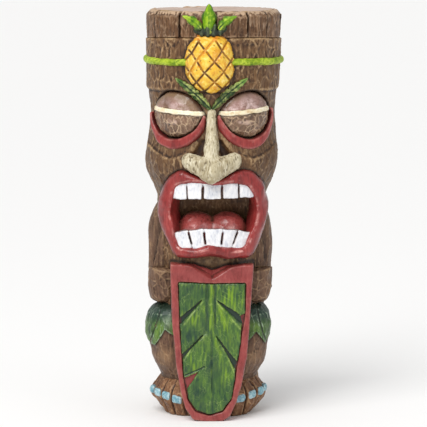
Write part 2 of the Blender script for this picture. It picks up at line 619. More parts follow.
def log_marks(q):
    x, y = lean(q)
    z = q[2]
    near = []
    for side in (LEFT, RIGHT):
        u, out, w = eye_frame(q, side)
        near.append(np.where(out > 60, np.abs(almond(u, w) - 1), FAR))
        near.append(capsule(q, (side * 14, -118, 514), (side * 24, -118, 492), 5.5, 7.0) + 3)
    for shape, corner, more in ((LIPS, 12, 0), (BOARD, 3, 0), (FRUIT, 6, 1)):
        near.append(np.where(y < -40, np.abs(outline(q, shape, corner)) + more, FAR))
    wash = fall(least(*near), 1, 6)
    cavity = (outline(q, MOUTH, 8) < 3) & (y < -20)
    wash = np.where(cavity, 0.15 * step01(-z, -400, -340), wash)
    chin = 0.25 * bump(x, 42) * bump(z - 292, 10) * (y < -60)
    pale = np.where(cavity, 0.34 * step01(z, 352, 392), 0) + chin
    wash = most(wash, 0.16 * step01(-z, -606, -590) * step01(z, 410, 440) * (1 - cavity))
    wash = most(wash, 0.3 * step01(x, 50, 95) * step01(z, 400, 430) * step01(-z, -530, -500) * (1 - cavity))
    broken = step01(wobble(q, 30, 13), -0.6, 0.5)
    worn = step01(wobble(q, 24, 14) + 0.6 * wobble(q, 9, 15), -0.7, 0.35)
    ridge = crackle(q, LOG_CELL, 11, 0.08) * 0.8 * worn
    ridge = ridge * (1 - step01(y, -30, 50) * (0.45 + 0.4 * step01(wobble(q, 70, 16), -0.4, 0.5)))
    ridge = most(ridge, bump(z - 609, 1.0) * (y < 20) * broken * 0.7)
    ridge = most(ridge, bump(z - 700.5 - arch(q), 1.2) * broken * 0.7)
    line = table(np.abs(x), CHEEK)
    ridge = most(ridge, bump(z - line + 3, 1.3) * (np.abs(x) > 50) * (y < -20) * broken * 0.7)
    ridge = most(ridge, 0.9 * bump(x, 40) * bump(z - 290, 9) * (y < -60))
    disc = step01(z, 748.5, 751.5) * fall(np.hypot(x, y), 108, 112)
    polar = [np.arctan2(y, x) * 38, np.hypot(x, y) * 0.16, 0 * z]
    crack = step01(wobble(polar, 9, 17), 0.45, 0.8) * disc
    return dict(ridge=ridge * (1 - 0.8 * wash), wash=most(wash, crack * 0.35),
                tint=most(disc * (0.95 - 0.3 * crack), pale))


piece("log", ["trunk"], "log_brown", "log", (-128, -128, 0), (134, 128, 756), 2.1, log_form, log_marks)

# ---- Crown ----

SPLITS = [-88, -61, -30.6, 2, 30.6, 52.5, 86, 118, 148, 180, 212, 244, 272]
GAPS = [0.6, 0.6, 1.3, 0.7, 1.2, 1.0, 0.6, 0.9, 0.7, 1.0, 0.8, 0.9, 0.6]
STAVE_CELL = (17, 17, 60)
SMEARED = (2, 4, 5)


def stave_form(i):
    a0, a1 = (math.radians(SPLITS[i + k]) for k in (0, 1))
    drop = 4 * abs(math.sin(math.radians(i * 100)))

    def form(p):
        x, y = lean(p)
        z = p[2]
        r = np.hypot(x, y)
        gap = 0.4 * wobble(p, 30, 40 + i) + 0.9 * step01(z, 730, 755)
        wedge = most(GAPS[i] + gap - (x * math.cos(a0) + y * math.sin(a0)),
                     GAPS[i + 1] + gap + x * math.cos(a1) + y * math.sin(a1))
        outer = 123.6 + 1.3 * step01(z, 702, 750) + 0.8 * math.sin(i * 2.3)
        f = smax(r - outer, 111.5 - r, 1.5)
        f = smax(f, wedge, 2.5)
        f = scoops(p, f, STAVE_CELL, 1.6, 50 + i)
        f = scoops(p, f, (6, 6, 30), 0.7, 70 + i)
        top = 754.2 - 0.35 * drop + 0.9 * wobble(p, 15, 90 + i) * step01(r, 112, 117)
        top = top - 7 * step01(r, 114.5, 124) ** 2
        top = top - 7 * bump(x + 14, 6) * (y < 0)
        f = smax(f, (z - top) * 0.95, 3.5)
        return most(f, 702.2 + arch(p) - z)
    return form


def stave_marks(i):
    def marks(q):
        x, y = lean(q)
        z = q[2]
        ragged = z + 3.5 * wobble([x, y, z * 0.6], 8, 95 + i) + 1.5 * wobble(q, 4, 96 + i)
        seams = [math.radians(a) for a in SPLITS[i:i + 2]]
        seam = least(*(np.abs(x * math.cos(a) + y * math.sin(a)) for a in seams))
        smear = bump(z - 728, 20) * step01(wobble([x, y, z * 0.4], 14, 110 + i), 0.0, 0.9)
        return dict(tint=most(step01(ragged, 742, 754) * 0.8, smear * (0.5 if i in SMEARED else 0.25)),
                    wash=fall(seam, 1.0, 3.4) * 0.9, ridge=crackle(q, STAVE_CELL, 50 + i, 0.08) * 0.8)
    return marks


for i in range(12):
    a, b = SPLITS[i:i + 2]
    across, deep = zip(*((r * math.sin(math.radians(turn)) + 3.2, -r * math.cos(math.radians(turn)))
                         for r in (108, 128) for turn in (a, (a + b) / 2, b)))
    piece(f"stave_{i + 1:02d}", [f"crown_stave_{i + 1:02d}"], "stave_wood", "crown",
          (min(across) - 2, min(deep) - 2, 702), (max(across) + 2, max(deep) + 2, 759), 1.25,
          stave_form(i), stave_marks(i))


CORD_R, CORD_Z, CORD_THICK = 124.9, 661, 6.3


def cord_form(p):
    x, y = lean(p)
    x = x - 0.8
    turn = np.arctan2(x, -y)
    out, up = np.hypot(x, y) - CORD_R, p[2] - CORD_Z
    ring = np.hypot(out, up - 0.9 * np.sin(3 * turn + 1))
    strand = np.arctan2(up, out)
    f = ring - CORD_THICK - 0.22 * np.cos(3 * strand - 62 * turn) + 0.4 * wobble(p, 34, 5)
    return scoops(p, f, (12, 12, 7), 0.45, 6, band=5)


piece("cord", ["headband_cord"], "cord_green", "cord", (-134, -134, 651), (139, 134, 671), 1.35,
      cord_form)

# ---- Pineapple ----

GROOVES = [[(-27, 712), (-23, 699), (5, 664), (21, 647), (35, 627)],
           [(-41, 684), (-36, 679), (-15, 646), (24, 609)],
           [(-52, 660), (-45, 651), (-32, 631), (-9, 605)], [(5, 706), (24, 676), (46, 652)],
           [(-50, 664), (-36, 679), (-22, 702)], [(-48, 633), (-39, 645), (-26, 668), (-12, 684), (12, 712)],
           [(-36, 616), (-23, 631), (-13, 643), (5, 663), (15, 676), (29, 700)],
           [(-17, 605), (-7, 614), (8, 629), (21, 643), (34, 662), (43, 676)],
           [(14, 606), (32, 626), (44, 640)]]
FAINT = GROOVES[5:6]
FRUIT = [(-23, 717), (11, 717), (23, 712), (31, 704), (41, 682), (43, 655), (41, 628), (30, 616), (17, 608),
         (4, 604), (-8, 605), (-20, 609), (-31, 617), (-46, 633), (-52, 655), (-50.5, 675), (-45, 689),
         (-34, 705)]


FRUIT_R, FRUIT_Y = 47, -104.5


def fruit_body(p):
    rho = np.hypot(p[0] + 3, p[1] - FRUIT_Y) / FRUIT_R
    zeta = np.abs(p[2] - 660) / 57
    return ((rho ** 2.5 + zeta ** 2.2) ** (1 / 2.35) - 1) * FRUIT_R


def fruit_form(p):
    f = smax(fruit_body(p) - 0.8, outline(p, FRUIT, 6), 6)
    d = strokes(p, GROOVES)
    near = step01(-p[1], 113, 131) * fall(p[2], 696, 706)
    f = f - 1.5 * step01(d, 0, 8) * near + 2.6 * np.exp(-(d / 1.7) ** 2) * near
    f = f + 0.6 * wobble(p, 17, 21) + 0.4 * wobble(p, 8, 22)
    return most(f, 121 - radius(p))


def fruit_marks(q):
    d = strokes(q, GROOVES)
    faint = strokes(q, FAINT)
    rim = step01(fruit_body([q[0], q[1] * 0 + FRUIT_Y, q[2]]), -9, 1)
    nick = step01(wobble(q, 11, 23) * wobble(q, 7, 24), 0.75, 0.95)
    bold = 0.4 + 0.6 * step01(wobble(q, 26, 25) - 0.02 * (q[0] + 5), -0.7, 0.2)
    low = fall(q[2], 698, 707)
    wash = low * fall(d, 0.8, 1.7 + 0.9 * bold) * np.where(faint < 2.5, 0.3, 1) * (0.35 + 0.65 * bold)
    tint = most(fall(d, 1.0, 4) * 0.5, rim * 0.62) + (1 - low) * 0.25
    return dict(wash=most(wash, nick * 0.6), tint=tint,
                ridge=step01(d, 5, 9) * step01(wobble(q, 20, 26), 0, 0.6) * 0.8)


piece("fruit", ["pineapple_fruit"], "pineapple_yellow", "fruit", (-55, -154, 602), (48, -104, 719),
      1.0,
      fruit_form, fruit_marks, edge=0.6, crease=9)


def collar_form(p):
    o = outline(p, COLLAR, 1.5)
    bulge = 139.5 - 0.018 * (p[0] + 2) ** 2 + 0.12 * least(p[2] - 722, 0)
    f = smax(o, -p[1] - bulge, 7)
    f = f + 1.3 * np.cos(p[0] * 0.52 + 0.5) * step01(-p[1], 124, 134)
    f = most(f, 121.5 - radius(p))
    return f + 0.5 * wobble(p, 12, 31)


def collar_marks(q):
    return dict(tint=step01(q[2], 721, 732) * 0.5, wash=fall(q[2], 707, 714))


piece("collar", ["pineapple_collar"], "leaf_dark", "collar", (-37, -142, 701), (33, -116, 733), 0.9,
      collar_form, collar_marks)


def swell(t, skew, blunt):
    """A leaf's width from its foot (t = 0) to its tip (t = 1)."""
    return most(np.sin(math.pi * t ** skew), 0) ** blunt


def blade(p, foot, tip, half_w, y_mid, thick, curl=0.0, lobes=0.0, seed=0):
    """A pointed leaf seen from the front, with a groove down its middle and a bent back."""
    ax, az = foot
    ux, uz = tip[0] - ax, tip[1] - az
    length = math.hypot(ux, uz)
    ux, uz = ux / length, uz / length
    along = ((p[0] - ax) * ux + (p[2] - az) * uz) / length
    across = (p[0] - ax) * uz - (p[2] - az) * ux + curl * np.sin(np.clip(along, 0, 1) * math.pi)
    t = np.clip(along, 0.0, 1.0)
    width = half_w * swell(t, 0.8, 0.75) * (1 - lobes + 2 * lobes * np.abs(np.sin(t * 8 + seed)))
    side = most(np.abs(across) - width, most(-along, along - 1) * length)
    middle = y_mid - 2.5 * t + 0.05 * across ** 2
    body = np.abs(p[1] - middle) - thick * (1 - 0.55 * (across / half_w) ** 2)
    f = smax(side * 0.8, body, 2.5)
    return f + 1.0 * bump(across, 1.6) * (1 - t), t, across


LEAVES = {
    "centre": ((-5, 712), (-4, 769), 13.5, -134.5, 4.8, 0.0, 0.14),
    "left": ((-18, 720), (-53, 747), 8.2, -132.5, 4.4, -4.0, 0.26),
    "right": ((12, 721), (46, 746), 8.2, -132.5, 4.4, 4.0, 0.26),
}


def leaf_pair(spec):
    def form(p):
        return blade(p, *spec)[0] + 0.35 * wobble(p, 9, 33)

    def marks(q):
        _, t, across = blade(q, *spec)
        rim = step01(np.abs(across) / (spec[2] * most(swell(t, 0.8, 0.75), 0.05)), 0.62, 0.95)
        glow = step01(wobble(q, 8, 34), 0.1, 0.8) * (1 - rim) * 0.7
        return dict(ridge=glow, tint=most(fall(t, 0.05, 0.42) * 0.9, rim * 0.45),
                    wash=most(bump(across, 1.3) * (1 - t) * 0.5, rim * 0.5))
    return form, marks


for name, spec in LEAVES.items():
    form, marks = leaf_pair(spec)
    (ax, az), (bx, bz) = spec[:2]
    piece(f"leaf_{name}", [f"crown_leaf_{name}"], "leaf_light", "leaf",
          (min(ax, bx) - 14, -146, min(az, bz) - 5), (max(ax, bx) + 14, -125, max(az, bz) + 5), 0.8, form,
          marks)


def brow_leaf(side):
    foot, tip = (side * 0.5, 574), (side * 67, 632)
    dx, dz = tip[0] - foot[0], tip[1] - foot[1]
    length = math.hypot(dx, dz)

    def parts(p):
        along = ((p[0] - foot[0]) * dx + (p[2] - foot[1]) * dz) / length
        across = ((p[0] - foot[0]) * dz - (p[2] - foot[1]) * dx) / length * side
        t = np.clip(along / length, 0, 1)
        return along, across + 3.0 * np.sin(t * math.pi), t

    def form(p):
        along, across, t = parts(p)
        notch = np.abs(np.sin(along * 0.27 + np.sign(across) * 0.9 + 0.8 * wobble(p, 22, 38)))
        width = 9.0 * swell(t, 0.85, 0.6) * (0.74 + 0.26 * notch)
        f = most(np.abs(across) - width, -along, along - length)
        r = radius(p)
        out = r - log_radius(p[2]) - 7.5 + 0.055 * across ** 2
        barbs = 0.8 * wobble([along * 1.6, across * 0.7, 0 * across], 13, 37)
        f = smax(f * 0.85, out + barbs + 1.2 * bump(across, 1.5), 3.0)
        return most(f, 112 - r, -side * p[0] + 0.3)

    def marks(q):
        along, across, t = parts(q)
        fleck = step01(wobble([along - np.abs(across), across * 2, 0 * across], 7, 35 + side)
                       * wobble([along, across * 2, 0 * across], 11, 39), 0.30, 0.5)
        light = step01(t, 0.45, 1.0) * (0.85 if side > 0 else 0.5)
        return dict(ridge=fleck * 0.9, tint=light, wash=bump(across, 1.0) * 0.5)

    name = f"brow_leaf_{SIDES[side]}"
    piece(name, [name], "leaf_dark", "leaf_dark", (min(0, side * 72) - 2, -134, 568),
          (max(0, side * 72) + 2, -90, 638), 0.9, form, marks)


# ---- Eyes ----

LID_TILT = math.radians(4)
EYE_BALL, EYE_OUT = 70, 60
DOME_CELL = (12, 12, 13)


def eye_slab(u, w, side):
    """Height above the tilted middle line of the pale strip."""
    return -side * math.sin(LID_TILT) * u + math.cos(LID_TILT) * (w - 6.5)


def eye(side):
    label = SIDES[side]
    a = side * EYE_TURN
    cx, cy = 100 * math.sin(a), -100 * math.cos(a)
    lo, hi = (cx - 58, cy - 50, 515), (cx + 58, cy + 50, 612)

    def dome(p, low, high, proud, soft):
        u, out, w = eye_frame(p, side)
        f = np.sqrt(u * u + (out - EYE_OUT) ** 2 + w * w) - EYE_BALL - proud
        f = smax(f, almond(u, w) + 0.4, soft)
        h = eye_slab(u, w, side)
        f = smax(f, most(low - h, h - high), 2.0)
        return most(f, 81 - out)

    def lid(p):
        f = dome(p, 3.6, 100, 0.0, 3.5)
        return scoops(p, f + 0.7 * wobble(p, 38, 44 + side), (26, 26, 17), 0.8, 41 + side)

    def strip(p):
        edge = 0.9 * wobble(p, 26, 45 + side)
        return scoops(p, dome(p, -4.2 + edge, 4.2 + edge * 0.6, 1.8, 2.5), (9, 9, 8), 0.8, 42 + side)

    def lower(p):
        f = dome(p, -100, -3.6, -0.4, 4.0)
        return scoops(p, f, DOME_CELL, 1.5, 43 + side)

    def lid_marks(q):
        u, out, w = eye_frame(q, side)
        rim = np.abs(almond(u, w))
        side_share = step01(-side * u, -15, 45)
        streak = wobble([u * 0.5, out, w * 2.2], 16, 48 + side)
        at, strong = (8, 0.75) if side < 0 else (-20, 1.45)
        sheen = bump(u - at, 26) * bump(w - 19 - 0.1 * u * side, 9 + side) * (0.75 + 0.4 * streak) * strong
        low = bump(u - at, 34) * bump(w - 12, 3) * 0.5 * strong
        base, share = (0.42, 0.45) if side < 0 else (0.0, 0.35)
        return dict(wash=fall(rim, 1, 6) * 0.9, ridge=np.clip(sheen + low, 0, 1),
                    tint=base + share * side_share + 0.4 * fall(rim, 4, 13) - 0.5 * sheen)

    def lower_marks(q):
        u, _, w = eye_frame(q, side)
        rim = np.abs(almond(u, w))
        slit = np.abs(eye_slab(u, w, side) + 4)
        wash = most(fall(rim, 1, 5) * 0.85, fall(slit, 0.5, 4) * 0.75)
        sheen = bump(u - (4 if side < 0 else -14), 17) * bump(w + 13,
                                                              6) * (0.8 + 0.5 * wobble(q, 11, 49 + side))
        return dict(wash=wash, ridge=crackle(q, DOME_CELL, 43 + side, 0.15), tint=np.clip(sheen, 0, 1) * 0.8)

    def strip_marks(q):
        u, _, w = eye_frame(q, side)
        return dict(wash=fall(eye_slab(u, w, side), -4.4, -2.4) * 0.6)

    def bag(p):
        u, _, w = eye_frame(p, side)
        r = np.hypot(p[0], p[1])
        f = smax(np.hypot(u, w - 2) - 66, -(almond(u, w) - 1.6), 3)
        f = smax(f, r - 126.0, 6)
        droop = 8 * step01(-u, 38, 60) if side < 0 else 0
        f = smax(f, eye_slab(u, w, side) + 1.0 + droop, 4)
        f = most(f, 108 - r)
        return smax(f, 10 - side * p[0], 5) + 0.5 * wobble(p, 30, 47 + side)

    def bag_marks(q):
        u, _, w = eye_frame(q, side)
        ring, edge = np.hypot(u, w - 2), almond(u, w)
        shine = bump(edge - 6.5, 2.2) * step01(-w, 2, 22) * step01(wobble(q, 17, 50 + side), -0.2, 0.6)
        return dict(wash=fall(edge, 1.5, 4) * 0.9 + step01(ring, 62, 66) * 0.5, ridge=shine * 0.7)

    piece(f"lid_{label}", [f"eyelid_{label}"], "eyelid_mauve", "lid", lo, hi, 1.3, lid, lid_marks,
          edge=0.9)
    piece(f"strip_{label}", [f"eye_slit_{label}"], "slit_cream", "strip", lo, hi, 1.1, strip,
          strip_marks)
    piece(f"dome_{label}", [f"eye_dome_{label}"], "dome_brown", "dome", lo, hi, 1.3, lower,
          lower_marks)
    piece(f"bag_{label}", [f"eye_bag_{label}"], "brick_red", "brick", (min(0, side * 130), -130, 496),
          (max(0, side * 130), 10, 576), 1.4, bag, bag_marks, edge=0.5)


# ---- Nose ----

def nose_form(p):
    f = capsule(p, (0, -118, 569), (0, -129, 505), 7.2, 12.6)
    f = smin(f, capsule(p, (0, -129, 505), (0, -148, 460), 12.6, 13.2), 5)
    for side in (LEFT, RIGHT):
        f = smin(f, capsule(p, (side * 40, -119, 481), (side * 14, -137, 474), 14.5, 13.5), 8)
        f = smin(f, capsule(p, (side * 39, -121, 475), (side * 1, -148, 450), 12.5, 9.5), 5)
    f = f + 1.0 * wobble(p, 40, 51)
    f = scoops(p, f, (10, 14, 40), 1.3, 52)
    return most(f, 104 - np.hypot(p[0], p[1]))


def nose_marks(q):
    tall = [q[0] * 3.2, q[1] * 2, q[2] * 0.8]
    nick = step01(wobble(tall, 14, 53) * wobble(q, 16, 54), 0.42, 0.62)
    low = step01(-q[2], -482, -445)
    side = step01(np.abs(q[0]), 7, 13) * step01(q[2], 498, 520)
    groove = bump(np.abs(q[0]) - 15 - 0.18 * (490 - q[2]), 5) * step01(-q[2], -498, -478) * 0.6
    back = step01(q[1], -120, -106)
    return dict(wash=most(nick * 0.85, back * 0.7), ridge=step01(wobble(tall, 10, 55), 0.2, 0.7) * 0.7,
                tint=most(low * 0.42, groove, side * 0.45))


piece("nose", ["nose"], "nose_cream", "nose", (-60, -164, 436), (60, -100, 580), 1.2, nose_form,
      nose_marks,
      edge=0.5, crease=0.5)

# ---- Mouth ----

def muzzle(p):
    bow = 4.5 * ((p[2] - 385) / 85) ** 2
    lip = 3.0 * bump(p[2] - 314, 14)
    return np.hypot(p[0], p[1] - 14) - (150 - bow + lip)


def lips_form(p):
    f = smax(outline(p, LIPS, 12), muzzle(p), 13)
    inner = outline(p, MOUTH, 8) + 0.30 * np.clip(-muzzle(p) - 5, 0, 60)
    f = smax(f, -inner, 9)
    f = f + 0.9 * wobble(p, 44, 61) - 1.3 * step01(-p[2], -330, -300)
    f = scoops(p, f, (30, 30, 24), 0.8, 62)
    return most(f, p[1] + 61)


def lips_marks(q):
    inner = outline(q, MOUTH, 8)
    deep = step01(-muzzle(q), 20, 58) * fall(inner, 4, 9)
    low = step01(-q[2], -345, -325)
    glint = bump(inner - 4.5, 2.2) * (low + 0.5 * (1 - low)) * step01(wobble(q, 18, 63), -0.1, 0.5)
    outer = step01(outline(q, LIPS, 12), -4, -1) * 0.45
    return dict(wash=most(deep * 0.6, outer), ridge=np.clip(glint * 1.3, 0, 1))


piece("lips", ["lips"], "brick_red", "lip", (-104, -141, 296), (108, -60, 468), 1.6, lips_form,
      lips_marks,
      edge=0.9)

UPPER_X = [-78, -45, -16, 19, 50, 86]
LOWER_X = [-74, -38, -12, 19, 42, 76]


def tooth(label, i, upper):
    xs = UPPER_X if upper else LOWER_X
    x0, x1 = xs[i], xs[i + 1]
    tilts = (0.0, 0.05, -0.03, 0.02, 0.03, 0.0) if upper else (0.0, 0.26, 0.10, -0.10, -0.40, 0.0)
    z0, z1 = (411, 446) if upper else (310, 356)
    gaps = (0.2, 0.6, 1.8, 1.5, 0.9, 0.2) if upper else (0.2, 1.3, 1.5, 1.3, 1.0, 0.2)

    def form(p):
        x, z = p[0], p[2]
        middle = (z0 + z1) / 2
        fade = step01(np.abs(z - 338), 9, 13) if not upper else step01(z, 431, 440)
        low = x0 + gaps[i] * (1 - fade) - tilts[i] * (z - middle)
        high = x1 - gaps[i + 1] * (1 - fade) - tilts[i + 1] * (z - middle)
        crown = muzzle(p) + 6.0 + 1.6 * ((x - x0) / (x1 - x0) - 0.5) ** 2 * 4
        f = smax(outline(p, MOUTH, 8) - 2.5, crown, 2.5)
        f = smax(f, most(low - x, x - high), 2.2)
        if upper:
            free = z0 - z + 0.02 * (x - 4)
        else:
            free = z - 355.5 + 9.5 * ((x - 2) / 75) ** 2 + 0.7 * np.sin(x * 0.16 + i)
        f = smax(f, free, 2.6)
        f = most(f, -(muzzle(p) + 22))
        return scoops(p, f + 0.5 * wobble(p, 22, 71 + i), (11, 12, 16), 0.8, 72 + i, band=6)

    def marks(q):
        middle = (z0 + z1) / 2
        x, z = q[0], q[2]
        a = np.abs(x - x0 + tilts[i] * (z - middle)) - gaps[i]
        b = np.abs(x - x1 + tilts[i + 1] * (z - middle)) - gaps[i + 1]
        reach = fall(np.abs(z - 338), 9, 13) if not upper else fall(z, 428, 436)
        back = step01(-muzzle(q), 8.5, 11)
        rim = bump(least(a, b) - 3.0, 1.2) * 0.6
        return dict(wash=most(fall(least(a, b), 0.4, 1.5) * 0.95 * reach, back), ridge=rim)

    piece(f"tooth_{label}_{i + 1}", [f"{label}_tooth_{i + 1}"], "tooth_white", "tooth",
          (x0 - 9, -136, z0 - 3), (x1 + 9, -72, z1 + 5), 1.0, form, marks, edge=1.2, crease=9)


def tongue_form(p):
    f = smin(ellipsoid(p, (-27, -66, 342), (39, 38, 40)), ellipsoid(p, (29, -66, 342), (39, 38, 40)), 13)
    f = smax(f, outline(p, MOUTH, 8) - 1, 3)
    f = scoops(p, f + 0.8 * wobble(p, 28, 81), (22, 22, 18), 1.0, 82)
    return smax(f, p[1] + 28, 2)


def tongue_marks(q):
    centre = bump(q[0] - 1, 6) * step01(q[2], 352, 372)
    edge = step01(np.abs(q[0] - 1), 44, 66)
    back = step01(q[1], -86, -60)
    facets = step01(wobble(q, 9, 83), -0.5, 0.3)
    gloss = 0.8 * bump(q[0] + 32, 10) * bump(q[2] - 350, 5) * facets
    gloss = gloss + fall(np.abs(q[0] - 37) + 1.2 * np.abs(q[2] - 355), 5, 11) * (0.5 + 0.5 * facets)
    gloss = gloss + 0.35 * bump(q[0] - 14, 8) * bump(q[2] - 360, 5) * facets
    return dict(tint=most(centre * 0.7, edge * 0.7, back * 0.6), ridge=np.clip(gloss, 0, 1) * (q[1] < -70))


piece("mouth_tongue", ["mouth_tongue"], "tongue_red", "tongue", (-70, -106, 306), (72, -27, 386), 1.4,
      tongue_form, tongue_marks, edge=0.9)

# ---- Tongue board ----

BOARD_TILT, BOARD_TOP = math.radians(4.7), 290


def board_front(p):
    """Distance in front of the board's sloping face."""
    return F(-math.cos(BOARD_TILT)) * (p[1] + 118) + F(math.sin(BOARD_TILT)) * (p[2] - BOARD_TOP)


def throat(p):
    """How far inside the wedge that is sunk into the top of the board."""
    return 36 * np.clip((p[2] - 257) / 24, 0, 1.2) - np.abs(p[0] - 1)


def board_form(p):
    face = board_front(p)
    o = outline(p, BOARD, 3)
    f = smax(o + 0.5 * wobble(p, 34, 90), face + 0.6 * wobble(p, 46, 91), 5.5)
    dent = step01(throat(p), 0, 15) * step01(p[2], 257, 268)
    f = f + 6.5 * dent * step01(face, -16, -8)
    tool = most(outline(p, RECESS, 4) + 0.1, -face - 6.5)
    f = smax(f, -tool, 1.8)
    f = scoops(p, f, (26, 26, 40), 0.7, 92, band=6)
    return most(f, p[1] + 92, -p[2])


def board_marks(q):
    face = board_front(q)
    recess = outline(q, RECESS, 4)
    slot = least(*(outline(q, s, 0) for s in SLOTS))
    dark = fall(slot, 0.5, 2.5) * (face < -2) * (recess < 0)
    rim = bump(recess - 0.3, 1.1) * 0.35
    wedge = throat(q)
    dent = step01(wedge, 2, 16) * step01(q[2], 262, 274) * (face > -9)
    return dict(wash=most(rim * (1 - dark), dent * 0.35, step01(q[1], -104, -96) * 0.5),
                ridge=bump(wedge - 1.5, 1.6) * (q[2] > 258) * (q[2] < 280) * 0.4, tint=dark)


piece("board", ["tongue_board"], "brick_red", "board", (-80, -145, 0), (82, -90, 293), 1.5, board_form,
      board_marks,
      edge=0.6)


# Dark blue and bright green patches: strength, middle and reach in x, middle and reach in z.
BLUE = [(0.65, -40, 22, 226, 34), (0.9, -34, 26, 158, 14), (0.9, 2, 15, 100, 26), (0.8, -26, 12, 50, 20),
        (0.5, 36, 12, 150, 16), (0.6, -44, 10, 96, 14), (0.4, 8, 24, 22, 9), (0.5, -14, 9, 176, 18),
        (0.45, 22, 9, 62, 16), (0.5, -16, 10, 30, 12)]
BRIGHT = [(0.48, 34, 22, 226, 22), (0.6, 24, 14, 190, 20), (0.6, 24, 13, 76, 30), (0.5, -34, 13, 100, 14),
          (0.5, -36, 14, 190, 12), (0.5, 16, 12, 136, 16)]


def panel_edge(p):
    """The leaf's outline, filled out to the recess but for its slots and notch."""
    f = smax(outline(p, PANEL, 1.2) - 1.6, outline(p, RECESS, 4) + 0.15, 1.0)
    for slot in SLOTS:
        f = smax(f, 0.3 - outline(p, slot, 0), 1.0)
    return f


def slope(p):
    """0 on the leaf, rising to 1 at a slot's lower edge, between that edge and the crest below it."""
    x, z = np.broadcast_arrays(p[0], p[2])
    total = np.zeros(x.shape, F)
    for (upper, inner, lower), crest in zip(SLOTS, CRESTS):
        crest = sorted(crest)
        top = table(x, sorted([inner, min(upper, lower, key=lambda c: c[1])]))
        base = table(x, crest)
        span = (x > crest[0][0]) & (x < crest[-1][0])
        t = np.clip((z - base) / most(top - base, 1), 0, 1) * (z < top + 1) * span
        total = most(total, t)
    return total.astype(F)


RIB_LEFT, RIB_RIGHT = -8, 6.5


def stalk(x, z):
    """Distance to the right of the single rib down the lower half of the leaf."""
    return x - 0.5 - 0.012 * (150 - z)


def panel_form(p):
    face = board_front(p)
    o = panel_edge(p)
    x, z = p[0], p[2]
    dip = 1.5 * np.exp(-most(-o, 0) / 2.2)
    top = face + 0.3 + dip + 1.2 * wobble(p, 48, 95)
    rib = step01(z, 150, 185)
    top = top + 2.4 * rib * (bump(x - RIB_LEFT, 2.8) + bump(x - RIB_RIGHT, 1.9)) - 1.3 * rib * bump(x, 3.5)
    top = top + 1.9 * (1 - rib) * bump(stalk(x, z), 1.8) * step01(z, 28, 60)
    top = top + 0.6 * bump(strokes(p, VEINS), 1.5) + 3.0 * slope(p) + 2.4 * bump(strokes(p, NICK), 1.5)
    f = smax(o, top, 1.8)
    f = scoops(p, f, (8, 20, 44), 1.0, 96, band=6)
    return most(f, -face - 6.2)


def panel_marks(q):
    x, z = q[0], q[2]
    o = panel_edge(q)
    rib = step01(z, 150, 185)
    dark = rib * (bump(x - RIB_LEFT, 3.6) + bump(x - RIB_RIGHT, 2.2))
    dark = dark + (1 - rib) * bump(stalk(x, z), 2.2) * 0.75
    slot = least(*(np.abs(outline(q, s, 0)) for s in SLOTS))
    bevel = bump(strokes(q, CRESTS) - 0.3, 1.3) * step01(wobble(q, 15, 99), -0.9, 0.2)
    bevel = bevel + bump(-o - 1.2, 0.8) * fall(slot, 2, 4) * 0.3
    vein = bump(strokes(q, FINE), 0.8) * 0.4
    nick = bump(strokes(q, NICK), 1.9)
    bright = spots(x, z, BRIGHT) + rib * bump(x, 3.5) * 0.75
    bright = bright + 0.42 * wobble([x * 3, q[1], z * 0.7], 22, 97)
    bright = bright * (1 - 0.4 * step01(-z, -120, -60))
    blue = spots(x, z, BLUE) * (0.7 + 0.3 * wobble([x * 2.4, q[1], z * 0.6], 15, 98))
    border = outline(q, RECESS, 4)
    edge = 0.5 * fall(-border, 1, 7 + 7 * (z < 70)) + 0.2 * fall(-o, 0.3, 1.8)
    wash = most(dark * 0.8, edge, nick, step01(slope(q), 0.15, 0.9) * 0.85, blue)
    return dict(wash=np.clip(wash, 0, 1), ridge=most(bevel, vein) * 0.9, tint=np.clip(bright, 0, 1) * 0.85)


piece("panel", ["leaf_panel"], "panel_green", "panel", (-62, -146, 10), (64, -110, 257), 1.15,
      panel_form,
      panel_marks, edge=0.8, crease=1.0)

# ---- Limbs ----

LIMB_SHIFT = [(0, -5.5), (70, -5.5), (100, -4), (120, -4.5), (150, -6.5), (200, -4.5), (250, -2.5),
              (400, -3.0)]
HEM = {LEFT: [(62, 146), (72, 153), (78, 156), (86, 163), (95, 147), (105, 131.5), (113, 131), (120, 136),
              (128, 142)],
       RIGHT: [(60, 152), (68, 142), (75, 149), (83, 159), (91, 148), (100, 134), (110, 144), (126, 160)]}
# Each foot's nails and the gaps beside them, in degrees from the front, and how high the nails are.
TOES = {LEFT: ([32, 45, 58, 70], [24.5, 38.6, 51.6, 64, 77], (33, 37.5, 40.5, 43)),
        RIGHT: ([32, 46.5, 60.5, 73], [24.5, 39.4, 53.6, 66.8, 79.5], (35, 39.5, 42.5, 45))}
# How far the foot stands out at each height, in front and at the side.
FOOT_FRONT = [(-2, 99), (6, 103), (14, 107), (24, 111), (34, 113.5), (44, 111.5), (52, 106), (60, 99),
              (66, 93),
              (71, 88)]
FOOT_SIDE = [(-2, 79), (2, 84), (13, 96), (23, 103.5), (31, 108), (40, 112), (46, 110.5), (55, 103), (63, 96),
             (71, 90)]
HAUNCH_CORNER = 44
# The leg's half width, front and distance from the axis at each of some levels.
LEVELS = [64, 75, 95, 115, 131, 150, 171, 190, 200, 210]
HAUNCH = ([89, 92.5, 103.5, 109, 113, 116, 117, 113, 107, 97], [84, 86, 88, 90, 91, 92, 92, 88, 81, 70],
          [93, 97, 112, 119.5, 125.5, 130, 130, 126, 118, 107])
ARM_CELL, HAND_CELL, KNEE_CELL = (15, 15, 80), (17, 17, 20), (10, 10, 40)
LEG_CELL, FOOT_CELL = (16, 16, 40), (11, 11, 24)


